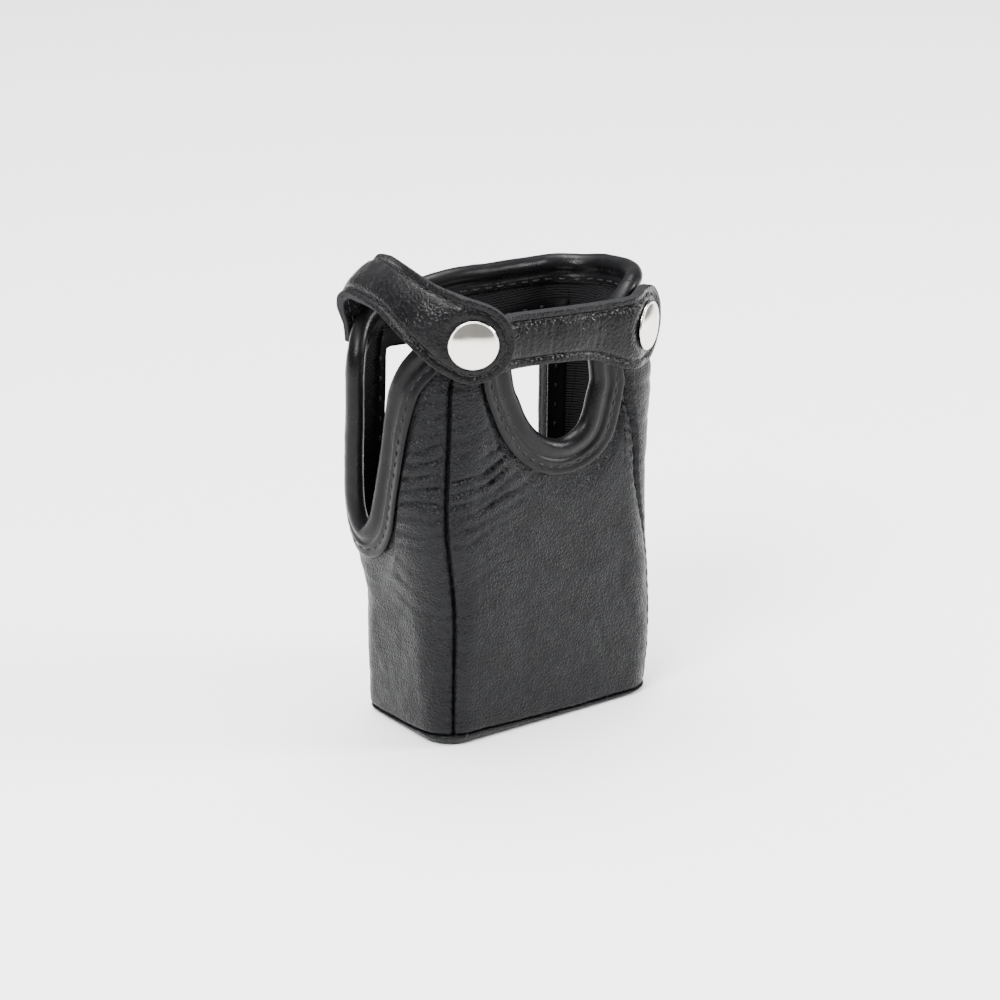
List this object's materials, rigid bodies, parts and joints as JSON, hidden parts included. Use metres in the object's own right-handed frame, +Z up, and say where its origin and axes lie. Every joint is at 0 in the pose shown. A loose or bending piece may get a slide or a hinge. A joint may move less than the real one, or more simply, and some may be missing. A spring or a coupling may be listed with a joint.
{
  "type": "pocket radio carrying case",
  "caption": "Padded black leather case for a small pocket radio, with rolled rim, cut-out front and side, back window and snap straps that fold open.",
  "frame": {"origin": "the centre of the case's base, on the surface that it stands on", "axes": "+Z up through the open top, -Y out of the front with its U cut-out and straps, +X to the right seen from the front"},
  "size_m": [0.0787, 0.056, 0.125],
  "materials": {
    "leather": "grained black, satin",
    "smooth_leather": "smooth black, satin",
    "lining_cloth": "black ribbed weave, matt",
    "foam": "grey felt-like foam padding, matt",
    "fibre_board": "grey fibre board, matt",
    "nickel": "polished nickel plate"
  },
  "bodies": {
    "case": {"front_panel": "leather", "front_foam": "foam", "front_lining": "lining_cloth", "right_panel": "leather", "right_foam": "foam", "right_lining": "lining_cloth", "back_panel": "leather", "back_foam": "foam", "back_lining": "lining_cloth", "left_panel": "leather", "left_foam": "foam", "left_lining": "lining_cloth", "bottom_panel": "leather", "base_board": "fibre_board", "bottom_lining": "lining_cloth", "window_facing": "smooth_leather", "rim_binding": "smooth_leather", "rim_cord": "foam", "left_strap_rear_outer": "leather", "left_strap_rear_pad": "foam", "left_strap_rear_lining": "leather", "front_strap_anchor_outer": "leather", "front_strap_anchor_pad": "foam", "front_strap_anchor_lining": "leather", "left_snap_stud": "nickel", "left_snap_post": "nickel", "right_snap_stud": "nickel", "right_snap_post": "nickel"},
    "left_strap": {"left_strap_outer": "leather", "left_strap_pad": "foam", "left_strap_lining": "leather", "left_snap_cap": "nickel", "left_snap_socket": "nickel"},
    "front_strap": {"front_strap_outer": "leather", "front_strap_pad": "foam", "front_strap_lining": "leather", "right_snap_cap": "nickel", "right_snap_socket": "nickel"}
  },
  "joints": [
    {"name": "left_strap_fold", "type": "hinge", "parent": "case", "child": "left_strap", "pos_m": [-0.03432, 0.01244, 0.11906], "axis": [-0.8511, -0.3004, -0.4306], "range_deg": [0, 120]},
    {"name": "front_strap_fold", "type": "hinge", "parent": "case", "child": "front_strap", "pos_m": [-0.01324, -0.02317, 0.10679], "axis": [0, 0, -1], "range_deg": [0, 100]}
  ]
}
